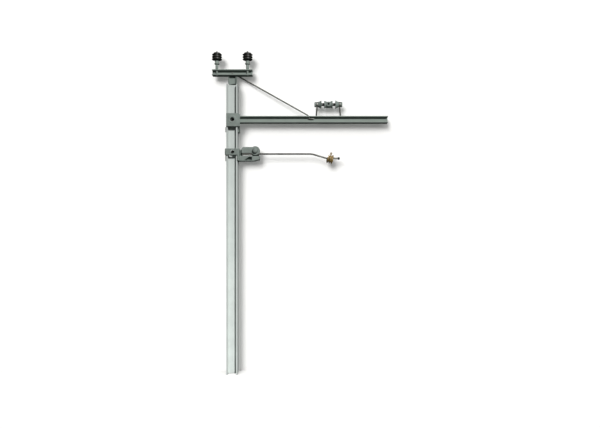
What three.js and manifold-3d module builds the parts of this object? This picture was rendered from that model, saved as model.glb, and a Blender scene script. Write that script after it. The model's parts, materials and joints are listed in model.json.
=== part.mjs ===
// Overhead-line mast for a model railway, scale 1:87: an H-section post with a crosshead and two pin
// insulators, an H-section arm held by a stay wire, a messenger-wire support on the arm, and a registration
// arm on a clamp that slides along the post. Millimetres. +Z is up, +X runs along the arm, -Y faces the
// viewer, and the origin is the middle of the post's lower end.

import * as THREE from "three";
import { mergeVertices } from "three/addons/utils/BufferGeometryUtils.js";
import Module from "manifold-3d";

const wasm = await Module();
wasm.setup();

// ---------------------------------------------------------------- driving dimensions

const POST_HEIGHT = 92.1;
const POST_WIDTH = 3.56; // over the flanges, and the same from front to back
const POST_WALL = 0.45;
const PLAY = 0.05; // between faces that touch on the real piece
const CUT_MARGIN = 1; // how far a cutting solid runs past the face it opens

const BEAM_DEPTH = 2.5; // arm and crosshead, from front to back
const BEAM_WALL = 0.3;

const ARM_REACH = 49.6;
const ARM_HEIGHT = 2.1;
const ARM_LEVEL = 81.03; // middle of the arm above the foot

const CROSSHEAD_LENGTH = 12.8;
const CROSSHEAD_HEIGHT = 1.8;
const NECK_GAP = 0.3; // open space between the post's top and the neck
const NECK_HEIGHT = 2.6;
const NECK_WIDTH = 2.6;
const NECK_RIB = 0.25;
const NECK_FRONT = -0.5;
const NECK_WEB_FRONT = 0.2;
const NECK_BACK = 1.2;
const TONGUE_LENGTH = 8;
const TONGUE_CLEARANCE = 0.15;
const CROSSHEAD_LEVEL = POST_HEIGHT + NECK_GAP + NECK_HEIGHT + 2 * PLAY;

const PIN_SPACING = 9.76;
const PIN_FORWARD = 0.62;
const PIN_RADIUS = 0.3;

const STAY_RADIUS = 0.22;
const STAY_ON_ARM = 24.25; // where the stay goes down through the arm's top

const SUPPORT_AT = 30.66; // middle of the messenger-wire support along the arm
const SUPPORT_HEIGHT = 3.82;
const LEG_AT_EYE = 3.6;
const LEG_AT_FOOT = 3.87;
const LEG_RADIUS = 0.25;
const AXLE_RADIUS = 0.25;
const AXLE_BORE = 0.3;

const CLAMP_PLATE = 0.5;
const CLAMP_CHEEK = 0.35;
const CLAMP_HOLE_AT = 0.2;
const CLAMP_HOLE_RADIUS = 0.65;
const GRUB_RADIUS = 0.55;
const UPPER_CLAMP_LEVEL = 80.8;
const LOWER_CLAMP_LEVEL = 70.6;

const PIVOT_AT = 7.4;
const PIVOT_RISE = 0.45; // above the middle of the lower clamp's plate
const PIVOT_RADIUS = 0.38;
const REGISTRATION_FORWARD = 0.7;
const REGISTRATION_RADIUS = 0.27;
const REGISTRATION_DROP = 1.03; // wire below the pivot
const REGISTRATION_REACH = 26.9; // pivot to the wire's tip

// ---------------------------------------------------------------- finishes

const finish = (color, roughness, metalness) =>
  new THREE.MeshStandardMaterial({ color, roughness, metalness });
const paleGreenMetal = () => finish(0xccd6d0, 0.5, 0.35);
const greyGreenMetal = () => finish(0x8b978f, 0.55, 0.35);
const greyGreenPlastic = () => finish(0x7f8a82, 0.6, 0.0);
const blackPlastic = () => finish(0x22231f, 0.45, 0.0);
const amberPlastic = () => finish(0x8a6a35, 0.35, 0.0);
const darkSteel = () => finish(0x3a3b39, 0.4, 0.9);
const wireSteel = () => finish(0x77797a, 0.35, 0.9);

// ---------------------------------------------------------------- solids and meshes

// A closed geometry as a manifold-3d solid with its faces pointing outwards.
function solid(geometry) {
  const bare = geometry.clone();
  bare.deleteAttribute("normal");
  bare.deleteAttribute("uv");
  const merged = mergeVertices(bare, 1e-4);
  const vertProperties = new Float32Array(merged.attributes.position.array);
  const triVerts = new Uint32Array(merged.index.array);
  const made = new wasm.Manifold(new wasm.Mesh({ numProp: 3, vertProperties, triVerts }));
  if (made.volume() > 0) return made;
  return new wasm.Manifold(new wasm.Mesh({ numProp: 3, vertProperties, triVerts: triVerts.reverse() }));
}

function join(...solids) {
  return solids.reduce((whole, next) => whole.add(next));
}

function cut(body, ...tools) {
  return tools.reduce((left, tool) => left.subtract(tool), body);
}

function mesh(name, made, material) {
  const { vertProperties, triVerts } = made.getMesh();
  const geometry = new THREE.BufferGeometry();
  geometry.setAttribute("position", new THREE.BufferAttribute(new Float32Array(vertProperties), 3));
  geometry.setIndex(new THREE.BufferAttribute(new Uint32Array(triVerts), 1));
  geometry.computeVertexNormals();
  const piece = new THREE.Mesh(geometry, material);
  piece.name = name;
  return piece;
}

const BOTH_SIDES = [-1, 1];
const between = (a, b) => [Math.min(a, b), Math.max(a, b)];

function group(x, y, z, ...children) {
  const made = new THREE.Group();
  made.position.set(x, y, z);
  made.add(...children);
  return made;
}

const ALONG = {
  x: new THREE.Vector3(1, 0, 0),
  y: new THREE.Vector3(0, 1, 0),
  z: new THREE.Vector3(0, 0, 1),
};
const facing = (right, up, out) => new THREE.Matrix4().makeBasis(right, up, out);
const OUT_ALONG_Y = facing(ALONG.x, ALONG.z, ALONG.y.clone().negate());
const AXIS_ALONG_X = facing(ALONG.y, ALONG.x, ALONG.z.clone().negate());
const AXIS_ALONG_Y = new THREE.Matrix4();
const AXIS_ALONG_Z = facing(ALONG.x, ALONG.z, ALONG.y.clone().negate());

// A box between two limits on each axis.
function box([x0, x1], [y0, y1], [z0, z1]) {
  const geometry = new THREE.BoxGeometry(x1 - x0, y1 - y0, z1 - z0);
  geometry.translate((x0 + x1) / 2, (y0 + y1) / 2, (z0 + z1) / 2);
  return solid(geometry);
}

function extruded(shape, depth, curveSegments = 12) {
  return new THREE.ExtrudeGeometry(shape, { depth, bevelEnabled: false, curveSegments });
}

// An outline in X and Z, swept from front to back.
function frontOutline(shape, [front, back], curveSegments) {
  const geometry = extruded(shape, back - front, curveSegments);
  geometry.applyMatrix4(OUT_ALONG_Y);
  geometry.translate(0, back, 0);
  return solid(geometry);
}

// A profile of [radius, height] points turned about an axis.
// It starts and ends on the axis, or closes on itself.
function turned(profile, segments, placing, at = [0, 0, 0]) {
  const points = profile.map(([radius, height]) => new THREE.Vector2(radius, height));
  const geometry = new THREE.LatheGeometry(points, segments);
  geometry.applyMatrix4(placing);
  geometry.translate(...at);
  return solid(geometry);
}

const rodProfile = (radius, from, to) => [
  [0, from],
  [radius, from],
  [radius, to],
  [0, to],
];
const ringProfile = (inner, outer, from, to) => [
  [inner, from],
  [outer, from],
  [outer, to],
  [inner, to],
  [inner, from],
];
const rodX = (radius, [from, to], segments = 16, at) =>
  turned(rodProfile(radius, from, to), segments, AXIS_ALONG_X, at);
const rodY = (radius, [from, to], segments = 16, at) =>
  turned(rodProfile(radius, from, to), segments, AXIS_ALONG_Y, at);
const rodZ = (radius, [from, to], segments = 16, at) =>
  turned(rodProfile(radius, from, to), segments, AXIS_ALONG_Z, at);

// A wire's centre line, with its samples only at the ends of its straight runs and round its bends.
class WireRoute extends THREE.Curve {
  constructor(points) {
    super();
    this.points = points;
  }
  get steps() {
    return this.points.length - 1;
  }
  getPointAt(u) {
    return this.points[Math.round(u * this.steps)].clone();
  }
  getTangentAt(u) {
    const here = Math.round(u * this.steps);
    const tangent = new THREE.Vector3();
    const addRun = (from, to) => tangent.add(to.clone().sub(from).normalize());
    if (here > 0) addRun(this.points[here - 1], this.points[here]);
    if (here < this.steps) addRun(this.points[here], this.points[here + 1]);
    return tangent.normalize();
  }
}

// The route through some corners, each rounded off by a bend that starts bendLength before it.
function route(corners, bendLength, bendSteps = 5) {
  const [start, ...rest] = corners.map(([x, y, z]) => new THREE.Vector3(x, y, z));
  const end = rest.pop();
  const points = [start];
  rest.forEach((corner, index) => {
    const before = index > 0 ? rest[index - 1] : start;
    const after = index < rest.length - 1 ? rest[index + 1] : end;
    const enter = corner.clone().add(before.clone().sub(corner).setLength(bendLength));
    const leave = corner.clone().add(after.clone().sub(corner).setLength(bendLength));
    points.push(...new THREE.QuadraticBezierCurve3(enter, corner, leave).getPoints(bendSteps));
  });
  return new WireRoute([...points, end]);
}

function wire(centreLine, radius, sides = 10) {
  const corners = Array.from({ length: sides }, (_, index) => {
    const angle = (2 * Math.PI * index) / sides;
    return new THREE.Vector2(radius * Math.cos(angle), radius * Math.sin(angle));
  });
  const section = new THREE.Shape(corners);
  const settings = { extrudePath: centreLine, steps: centreLine.steps, bevelEnabled: false };
  return solid(new THREE.ExtrudeGeometry(section, settings));
}

// ---------------------------------------------------------------- rolled sections

// The H section's web faces front, with a flange on each side.
function postSolid() {
  const half = POST_WIDTH / 2;
  const inner = half - POST_WALL;
  const web = POST_WALL / 2;
  const outline = new THREE.Shape();
  outline.moveTo(-half, -half);
  outline.lineTo(-inner, -half);
  outline.lineTo(-inner, -web);
  outline.lineTo(inner, -web);
  outline.lineTo(inner, -half);
  outline.lineTo(half, -half);
  outline.lineTo(half, half);
  outline.lineTo(inner, half);
  outline.lineTo(inner, web);
  outline.lineTo(-inner, web);
  outline.lineTo(-inner, half);
  outline.lineTo(-half, half);
  return solid(extruded(outline, POST_HEIGHT));
}

// An H section along X from one end to the other, with its web upright, standing on height zero.
function beamSolid(from, to, height) {
  const outer = box([from, to], [-BEAM_DEPTH / 2, BEAM_DEPTH / 2], [0, height]);
  const grooves = BOTH_SIDES.map((side) =>
    box(
      [from - CUT_MARGIN, to + CUT_MARGIN],
      between((side * BEAM_WALL) / 2, side * BEAM_DEPTH),
      [BEAM_WALL, height - BEAM_WALL],
    ),
  );
  return cut(outer, ...grooves);
}

// ---------------------------------------------------------------- crosshead

const STAY_FORWARD = 0.5; // of the arm's web
const STAY_ROUTE = [
  [0, -0.4, CROSSHEAD_LEVEL + 0.85],
  [0, 1.75, CROSSHEAD_LEVEL + 1.25],
  [STAY_ON_ARM, -STAY_FORWARD, ARM_LEVEL + ARM_HEIGHT / 2 + 0.2],
  [STAY_ON_ARM + 0.15, -STAY_FORWARD, ARM_LEVEL + ARM_HEIGHT / 2 - 0.8],
  [STAY_ON_ARM + 1.75, -STAY_FORWARD, ARM_LEVEL + ARM_HEIGHT / 2 - 0.8],
];

const RIVET_RADIUS = 0.2;
const RIVET_HEAD_RADIUS = 0.42;
const RIVET_HEAD = 0.14;
const RIVET_LENGTH = 1.6;
const RIVET_BACK = 0.7; // behind the crosshead's web
const STAY_HOLE_RADIUS = 0.4;
const STAY_HOLE_LEVEL = 0.98; // above the crosshead's lower face

function crossheadSolid() {
  const half = CROSSHEAD_LENGTH / 2;
  const through = [-CUT_MARGIN, CROSSHEAD_HEIGHT + CUT_MARGIN];
  const pinAt = (side) => [(side * PIN_SPACING) / 2, -PIN_FORWARD, 0];
  const pinHoles = BOTH_SIDES.map((side) => rodZ(PIN_RADIUS + PLAY, through, 16, pinAt(side)));
  const rivetHole = rodZ(RIVET_RADIUS + PLAY, [-CUT_MARGIN, CROSSHEAD_HEIGHT / 2], 16, [0, RIVET_BACK, 0]);
  const stayHole = rodY(STAY_HOLE_RADIUS, [-BEAM_WALL, BEAM_WALL], 20, [0, 0, STAY_HOLE_LEVEL]);
  return cut(beamSolid(-half, half, CROSSHEAD_HEIGHT), stayHole, ...pinHoles, rivetHole);
}

// The block between post and crosshead: a web with a rib down each side, and a tongue that plugs into
// the post's rear channel.
function neckSolid() {
  const half = NECK_WIDTH / 2;
  const block = box([-half, half], [NECK_FRONT, NECK_BACK], [0, NECK_HEIGHT]);
  const recess = box(
    [NECK_RIB - half, half - NECK_RIB],
    [NECK_FRONT - CUT_MARGIN, NECK_WEB_FRONT],
    [-CUT_MARGIN, NECK_HEIGHT + CUT_MARGIN],
  );
  const tongueHalf = POST_WIDTH / 2 - POST_WALL - TONGUE_CLEARANCE;
  const tongueBack = POST_WIDTH / 2 - TONGUE_CLEARANCE;
  const tongue = box(
    [-tongueHalf, tongueHalf],
    [POST_WALL / 2 + PLAY, tongueBack],
    [-TONGUE_LENGTH, NECK_HEIGHT / 2],
  );
  const rivetDepth = [NECK_HEIGHT - RIVET_LENGTH, NECK_HEIGHT + CUT_MARGIN];
  const rivetHole = rodZ(RIVET_RADIUS + PLAY, rivetDepth, 16, [0, RIVET_BACK, 0]);
  return cut(join(cut(block, recess), tongue), rivetHole);
}

function rivetSolid() {
  const headFoot = BEAM_WALL + PLAY;
  const profile = [
    [0, PLAY - RIVET_LENGTH],
    [RIVET_RADIUS, PLAY - RIVET_LENGTH],
    [RIVET_RADIUS, headFoot],
    [RIVET_HEAD_RADIUS, headFoot],
    [RIVET_HEAD_RADIUS, headFoot + RIVET_HEAD / 2],
    [RIVET_HEAD_RADIUS / 2, headFoot + RIVET_HEAD],
    [0, headFoot + RIVET_HEAD],
  ];
  return turned(profile, 20, AXIS_ALONG_Z, [0, RIVET_BACK, 0]);
}

// ---------------------------------------------------------------- pin insulators
// Heights are from the crosshead's lower face.

const PIN_TIP = -0.35;
const STEM_RADIUS = 0.46;
const STEM_TOP = 3.42;
const CUP_FOOT = 3.47;
const CUP_COLLAR_TOP = 3.85;
const CUP_TOP = 5.25;
const PIN_TOP = 4.4;
const INSULATOR_FOOT = 4.9;
const INSULATOR_RADIUS = 1.6;
const INSULATOR_CORE = 1.24;
const RIB_PITCH = 0.73;
const RIB_COUNT = 3;
const KNOB_RADIUS = 0.33;
const KNOB_TOP = 7.6;

function pinSolid() {
  const profile = [
    [0, PIN_TIP],
    [PIN_RADIUS * 0.6, PIN_TIP],
    [PIN_RADIUS, PIN_TIP + 0.12],
    [PIN_RADIUS, CROSSHEAD_HEIGHT + PLAY],
    [STEM_RADIUS, CROSSHEAD_HEIGHT + PLAY],
    [STEM_RADIUS, STEM_TOP - 0.3],
    [STEM_RADIUS * 0.85, STEM_TOP],
    [PIN_RADIUS, STEM_TOP],
    [PIN_RADIUS, PIN_TOP],
    [0, PIN_TOP],
  ];
  return turned(profile, 20, AXIS_ALONG_Z);
}

function cupSolid() {
  const bore = PIN_RADIUS + PLAY;
  const profile = [
    [0, PIN_TOP + PLAY],
    [bore, PIN_TOP + PLAY],
    [bore, CUP_FOOT],
    [0.68, CUP_FOOT],
    [0.78, CUP_FOOT + 0.08],
    [0.78, CUP_COLLAR_TOP - 0.06],
    [0.66, CUP_COLLAR_TOP],
    [0.62, CUP_TOP],
    [0, CUP_TOP],
  ];
  return turned(profile, 24, AXIS_ALONG_Z);
}

// Three ribs over a recess for the cup, with a grooved knob on top for the line.
function pinInsulatorSolid() {
  const recess = 0.72;
  const profile = [
    [0, CUP_TOP + PLAY],
    [recess, CUP_TOP + PLAY],
    [recess, INSULATOR_FOOT],
    [recess + 0.2, INSULATOR_FOOT],
    [recess + 0.34, INSULATOR_FOOT + 0.2],
    [INSULATOR_RADIUS - 0.14, INSULATOR_FOOT],
  ];
  for (let rib = 0; rib < RIB_COUNT; rib += 1) {
    const foot = INSULATOR_FOOT + rib * RIB_PITCH;
    profile.push([INSULATOR_RADIUS, foot + 0.08]);
    profile.push([INSULATOR_RADIUS, foot + 0.28]);
    profile.push([INSULATOR_CORE, foot + 0.4]);
    profile.push([INSULATOR_CORE, foot + 0.65]);
  }
  const shoulder = INSULATOR_FOOT + RIB_COUNT * RIB_PITCH;
  profile.push([KNOB_RADIUS + 0.25, shoulder + 0.06]);
  profile.push([KNOB_RADIUS * 0.7, shoulder + 0.14]);
  profile.push([KNOB_RADIUS * 0.7, shoulder + 0.2]);
  profile.push([KNOB_RADIUS, shoulder + 0.3]);
  profile.push([KNOB_RADIUS, KNOB_TOP - 0.12]);
  profile.push([KNOB_RADIUS * 0.6, KNOB_TOP]);
  profile.push([0, KNOB_TOP]);
  return turned(profile, 28, AXIS_ALONG_Z);
}

function pinInsulator(name, side) {
  return group(
    (side * PIN_SPACING) / 2,
    -PIN_FORWARD,
    0,
    mesh(`${name}_pin`, pinSolid(), greyGreenMetal()),
    mesh(`${name}_pin_cup`, cupSolid(), greyGreenMetal()),
    mesh(`${name}_pin_insulator`, pinInsulatorSolid(), blackPlastic()),
  );
}

// ---------------------------------------------------------------- arm

const STAY_SLOT = [-0.4, 0.6]; // from the stay's bend
const SLOT_HALF = 0.32;
const LEG_HOLE_RADIUS = 0.32;

function armSolid() {
  const from = POST_WIDTH / 2 + PLAY + CLAMP_CHEEK + PLAY;
  const roof = [ARM_HEIGHT - BEAM_WALL, ARM_HEIGHT + CUT_MARGIN];
  const slotLength = STAY_SLOT.map((end) => STAY_ON_ARM + end);
  const staySlot = box(slotLength, [-STAY_FORWARD - SLOT_HALF, -STAY_FORWARD + SLOT_HALF], roof);
  const legAt = (side) => [SUPPORT_AT + side * LEG_AT_FOOT, 0, 0];
  const legHoles = BOTH_SIDES.map((side) => rodZ(LEG_HOLE_RADIUS, roof, 16, legAt(side)));
  return cut(beamSolid(from, ARM_REACH, ARM_HEIGHT), staySlot, ...legHoles);
}

// ---------------------------------------------------------------- messenger-wire support
// Positions are from the middle of its axle.

const EYE_OVERLAP = 0.2; // how far the leg runs into its eye
const EYE_WIDTH = 0.5;
const EYE_RADIUS = 0.82;
const BELL_FROM = 2.2;
const BELL_RADIUS = 1.3;
const SPACER_RADIUS = 0.52;
const BLOCK_HALF = 1.32;
const BLOCK_RIM = 0.3;
const BLOCK_RADIUS = 1.2;
const BODY_RADIUS = 1.06;
const BOSS_RADIUS = 0.74;
const BOSS_HALF = 1.14;
const NOTCH_HALF = 0.62;
const NOTCH_DEPTH = 0.3;
const END_CAP_WIDTH = 0.55;
const END_CAP_WALL = 0.15;
const WIRE_HOLE_RADIUS = 0.36;
const WIRE_HOLE_DEPTH = 1.5;
const AXLE_FROM = 0.5;

// A wire leg with a foot in the arm's upper flange and a round eye at the axle.
function legSolid() {
  const foot = new THREE.Vector3(LEG_AT_FOOT, 0, -SUPPORT_HEIGHT - BEAM_WALL + PLAY);
  const top = new THREE.Vector3(LEG_AT_EYE, 0, -EYE_RADIUS + EYE_OVERLAP);
  const leg = wire(new WireRoute([foot, top]), LEG_RADIUS);
  const eye = ringProfile(AXLE_BORE, EYE_RADIUS, LEG_AT_EYE - EYE_WIDTH / 2, LEG_AT_EYE + EYE_WIDTH / 2);
  return join(leg, turned(eye, 24, AXIS_ALONG_X));
}

// A short flared insulator with its rim towards the middle.
function bellSolid() {
  const to = LEG_AT_EYE - EYE_WIDTH / 2 - PLAY;
  const profile = [
    [AXLE_BORE, BELL_FROM],
    [BELL_RADIUS - 0.3, BELL_FROM],
    [BELL_RADIUS, BELL_FROM + 0.08],
    [BELL_RADIUS, BELL_FROM + 0.26],
    [BELL_RADIUS - 0.24, BELL_FROM + 0.42],
    [BELL_RADIUS - 0.44, to],
    [AXLE_BORE, to],
    [AXLE_BORE, BELL_FROM],
  ];
  return turned(profile, 24, AXIS_ALONG_X);
}

function endCapSolid() {
  const from = LEG_AT_EYE + EYE_WIDTH / 2 + PLAY;
  const to = from + END_CAP_WIDTH;
  const profile = [
    [0, to - END_CAP_WALL],
    [AXLE_BORE, to - END_CAP_WALL],
    [AXLE_BORE, from],
    [EYE_RADIUS, from],
    [EYE_RADIUS, to - 0.08],
    [EYE_RADIUS - 0.1, to],
    [0, to],
  ];
  return turned(profile, 24, AXIS_ALONG_X);
}

const spacerSolid = () =>
  turned(ringProfile(AXLE_BORE, SPACER_RADIUS, BLOCK_HALF + PLAY, BELL_FROM - PLAY), 20, AXIS_ALONG_X);

function axleSolid() {
  const to = LEG_AT_EYE + EYE_WIDTH / 2 + END_CAP_WIDTH - END_CAP_WALL;
  return rodX(AXLE_RADIUS, [AXLE_FROM, to]);
}

// The middle spool, with a hole in its front for the messenger wire's clip and a notched top.
function messengerClampSolid() {
  const neckHalf = BLOCK_HALF - BLOCK_RIM / 2;
  const body = rodX(BODY_RADIUS, [-neckHalf, neckHalf], 28);
  const rims = BOTH_SIDES.map((side) =>
    rodX(BLOCK_RADIUS, between(side * (BLOCK_HALF - BLOCK_RIM), side * BLOCK_HALF), 28),
  );
  const boss = rodY(BOSS_RADIUS, [-BOSS_HALF, BOSS_HALF], 24);
  const notch = box(
    [-NOTCH_HALF, NOTCH_HALF],
    [-BODY_RADIUS, BODY_RADIUS],
    [BODY_RADIUS - NOTCH_DEPTH, BODY_RADIUS + CUT_MARGIN],
  );
  const wireHole = rodY(WIRE_HOLE_RADIUS, [-BOSS_HALF - CUT_MARGIN, -BOSS_HALF + WIRE_HOLE_DEPTH]);
  const axleBores = BOTH_SIDES.map((side) =>
    rodX(AXLE_BORE, between(side * (AXLE_FROM - PLAY), side * (BLOCK_HALF + CUT_MARGIN))),
  );
  return cut(join(body, ...rims, boss), notch, wireHole, ...axleBores);
}

// The right half's pieces. Turned half round about Z they make the left half.
function supportHalf(name) {
  return group(
    0,
    0,
    0,
    mesh(`${name}_leg`, legSolid(), wireSteel()),
    mesh(`${name}_bell`, bellSolid(), greyGreenPlastic()),
    mesh(`${name}_end_cap`, endCapSolid(), greyGreenPlastic()),
    mesh(`${name}_spacer`, spacerSolid(), blackPlastic()),
    mesh(`${name}_axle`, axleSolid(), darkSteel()),
  );
}

function messengerSupport() {
  const leftHalf = supportHalf("left");
  leftHalf.rotation.z = Math.PI;
  const level = ARM_LEVEL + ARM_HEIGHT / 2 + SUPPORT_HEIGHT;
  const clamp = mesh("messenger_clamp", messengerClampSolid(), greyGreenPlastic());
  return group(SUPPORT_AT, 0, level, clamp, leftHalf, supportHalf("right"));
}

// ---------------------------------------------------------------- clamps
// Positions are from the post's axis and the middle of the front plate.

const COLLAR_INNER = POST_WIDTH / 2 + PLAY;
const COLLAR_BACK = COLLAR_INNER + 0.4;
const SEAM = 0.1; // how far joined solids run into each other
const PLATE_BACK = -COLLAR_INNER;
const PLATE_FRONT = PLATE_BACK - CLAMP_PLATE;
const CHEEK_FRONT = -0.6;

// A collar round the post: cheeks and back over the height [low, high], and a front plate.
// Below the plate's foot the cheeks stand back.
function collar([low, high], plate, plateFoot) {
  const outer = COLLAR_INNER + CLAMP_CHEEK;
  const sleeve = box([-outer, outer], [PLATE_BACK - SEAM, COLLAR_BACK], [low, high]);
  const postSpace = box(
    [-COLLAR_INNER, COLLAR_INNER],
    [PLATE_BACK - 2 * SEAM, COLLAR_INNER],
    [low - CUT_MARGIN, high + CUT_MARGIN],
  );
  const setback = box(
    [-outer - CUT_MARGIN, outer + CUT_MARGIN],
    [PLATE_BACK - 2 * SEAM, CHEEK_FRONT],
    [low - CUT_MARGIN, plateFoot],
  );
  const holeDepth = [PLATE_FRONT - CUT_MARGIN, PLATE_BACK + CUT_MARGIN];
  const screwHole = rodY(CLAMP_HOLE_RADIUS, holeDepth, 24, [CLAMP_HOLE_AT, 0, 0]);
  return cut(join(cut(sleeve, postSpace, setback), plate), screwHole);
}

const GRUB_RECESS = 0.8;
const SOCKET_RADIUS = 0.28;
const SOCKET_DEPTH = 0.5;

// A headless screw with a hexagon socket, from the front plate to the post's web.
function grubScrewSolid() {
  const tip = -POST_WALL / 2 - PLAY;
  const front = PLATE_FRONT + GRUB_RECESS;
  const at = [CLAMP_HOLE_AT, 0, 0];
  const socket = rodY(SOCKET_RADIUS, [front - CUT_MARGIN, front + SOCKET_DEPTH], 6, at);
  const profile = [
    [0, front],
    [GRUB_RADIUS - 0.08, front],
    [GRUB_RADIUS, front + 0.08],
    [GRUB_RADIUS, tip - 0.2],
    [GRUB_RADIUS - 0.2, tip],
    [0, tip],
  ];
  return cut(turned(profile, 20, AXIS_ALONG_Y, at), socket);
}

const UPPER_PLATE = { left: -1.72, right: 2.65, low: -2.2, high: 1.95, corner: 0.45 };
const UPPER_SLEEVE = [-3.8, 1.95];
const UPPER_RING = { radius: 1.2, rise: 0.12 };
const TENON_LENGTH = 1.4;

function upperClampSolid() {
  const { left, right, low, high, corner } = UPPER_PLATE;
  const outline = new THREE.Shape();
  outline.moveTo(left, low);
  outline.lineTo(right, low);
  outline.lineTo(right, high - corner);
  outline.lineTo(right - corner, high);
  outline.lineTo(left, high);
  const ringDepth = [PLATE_FRONT - UPPER_RING.rise, PLATE_BACK];
  const ring = rodY(UPPER_RING.radius, ringDepth, 32, [CLAMP_HOLE_AT, 0, 0]);
  const plate = join(frontOutline(outline, [PLATE_FRONT, PLATE_BACK]), ring);
  const openSide = box(
    [-COLLAR_INNER - CLAMP_CHEEK - CUT_MARGIN, -COLLAR_INNER],
    [PLATE_BACK - 2 * SEAM, COLLAR_BACK + CUT_MARGIN],
    [low, high + CUT_MARGIN],
  );
  // The arm's rear groove slips over this block and is soldered to it.
  const armMiddle = ARM_LEVEL - UPPER_CLAMP_LEVEL;
  const tenonHalf = ARM_HEIGHT / 2 - BEAM_WALL - PLAY;
  const tenonFrom = COLLAR_INNER + CLAMP_CHEEK;
  const tenon = box(
    [tenonFrom - SEAM, tenonFrom + TENON_LENGTH],
    [BEAM_WALL / 2 + PLAY, BEAM_DEPTH / 2 - PLAY],
    [armMiddle - tenonHalf, armMiddle + tenonHalf],
  );
  return join(cut(collar(UPPER_SLEEVE, plate, low), openSide), tenon);
}

// ---------------------------------------------------------------- lower clamp with its bracket

const LOWER_PLATE = { left: -1.87, right: 2.35, half: 1.0 };
const LOWER_SLEEVE = [-2.8, 1.0];
const BRACKET_DEPTH = 2.5;
const BRACKET_END = 8.7;
const BRACKET_TOP = -1.3; // upper face of the lower bar
const BRACKET_TAPER = { from: 7.0, rise: 0.45 };
const BACK_WALL_TO = 3.0;
const BACK_WALL_FRONT = 0.15;
const LUG_FROM = 6.3;
const LUG_FRONT = 0.05;
const LUG_RADIUS = 1.0;
const PIVOT_END_WALL = 0.2;
const POCKET = { from: 3.9, to: 6.3, low: -2.55, high: -1.5, slant: 1.5, depth: 1.6 };

function lowerClampSolid() {
  const { left, right, half } = LOWER_PLATE;
  const plate = box([left, right], [PLATE_FRONT, PLATE_BACK], [-half, half]);
  const cheek = box([COLLAR_INNER, right], [PLATE_FRONT, COLLAR_BACK], LOWER_SLEEVE);
  const barFront = -BRACKET_DEPTH / 2;
  const barBack = BRACKET_DEPTH / 2;
  const bar = new THREE.Shape();
  bar.moveTo(right - SEAM, LOWER_SLEEVE[0]);
  bar.lineTo(BRACKET_TAPER.from, LOWER_SLEEVE[0]);
  bar.lineTo(BRACKET_END, LOWER_SLEEVE[0] + BRACKET_TAPER.rise);
  bar.lineTo(BRACKET_END, BRACKET_TOP);
  bar.lineTo(right - SEAM, BRACKET_TOP);
  const lowerBar = frontOutline(bar, [barFront, barBack]);
  const backWall = box([right - SEAM, BACK_WALL_TO], [BACK_WALL_FRONT, barBack], [BRACKET_TOP - SEAM, half]);
  const lug = new THREE.Shape();
  lug.moveTo(LUG_FROM, BRACKET_TOP - SEAM);
  lug.lineTo(PIVOT_AT + LUG_RADIUS, BRACKET_TOP - SEAM);
  lug.lineTo(PIVOT_AT + LUG_RADIUS, PIVOT_RISE);
  lug.absarc(PIVOT_AT, PIVOT_RISE, LUG_RADIUS, 0, Math.PI, false);
  lug.lineTo(LUG_FROM, PIVOT_RISE - 0.2);
  const lugPlate = frontOutline(lug, [LUG_FRONT, barBack]);
  const hollow = new THREE.Shape();
  hollow.moveTo(POCKET.from, POCKET.low);
  hollow.lineTo(POCKET.to, POCKET.low);
  hollow.lineTo(POCKET.to, POCKET.high);
  hollow.lineTo(POCKET.from + POCKET.slant, POCKET.high);
  const pocket = frontOutline(hollow, [barFront - CUT_MARGIN, barFront + POCKET.depth]);
  const boreDepth = [LUG_FRONT - CUT_MARGIN, barBack - PIVOT_END_WALL];
  const pivotBore = rodY(PIVOT_RADIUS + PLAY, boreDepth, 16, [PIVOT_AT, 0, PIVOT_RISE]);
  const whole = join(collar(LOWER_SLEEVE, plate, -half), cheek, lowerBar, backWall, lugPlate);
  return cut(whole, pocket, pivotBore);
}

// ---------------------------------------------------------------- registration arm, from its pivot

const LEVER_LEFT = -4.34;
const LEVER_TOP = 1.15;
const LEVER_BOTTOM = -REGISTRATION_DROP + REGISTRATION_RADIUS;
const LEVER_EYE_RADIUS = 1.42;
const LEVER_Y = [-0.6, 0.6]; // half the lever's thickness each way from the wire's plane
const LEVER_SHOULDER = { length: 0.45, drop: 0.4 };
const REGISTRATION_BEND_1 = 18.0;
const REGISTRATION_BEND_2 = 22.8;
const REGISTRATION_FALL = 1.42;
const WIRE_CLEARANCE = 0.04;

const registrationRoute = () =>
  route(
    [
      [LEVER_LEFT + 0.2, 0, -REGISTRATION_DROP],
      [REGISTRATION_BEND_1, 0, -REGISTRATION_DROP],
      [REGISTRATION_BEND_2, 0, -REGISTRATION_DROP - REGISTRATION_FALL],
      [REGISTRATION_REACH, 0, -REGISTRATION_DROP - REGISTRATION_FALL],
    ],
    0.5,
  );

// A flat bar with a round eye at the pivot and a groove for the wire along its lower edge.
function leverSolid() {
  const outline = new THREE.Shape();
  outline.moveTo(LEVER_LEFT, LEVER_BOTTOM);
  outline.lineTo(0, LEVER_BOTTOM);
  outline.lineTo(0, LEVER_TOP);
  outline.lineTo(LEVER_LEFT + LEVER_SHOULDER.length, LEVER_TOP);
  outline.lineTo(LEVER_LEFT, LEVER_TOP - LEVER_SHOULDER.drop);
  const bar = frontOutline(outline, LEVER_Y);
  const eye = rodY(LEVER_EYE_RADIUS, LEVER_Y, 32);
  const bore = rodY(PIVOT_RADIUS + PLAY, [LEVER_Y[0] - CUT_MARGIN, LEVER_Y[1] + CUT_MARGIN]);
  return cut(join(bar, eye), bore, wire(registrationRoute(), REGISTRATION_RADIUS + WIRE_CLEARANCE));
}

const DOME_RADIUS = 0.85;
const DOME_RIM = 0.5;
const DOME_RISE = 0.4;

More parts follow.
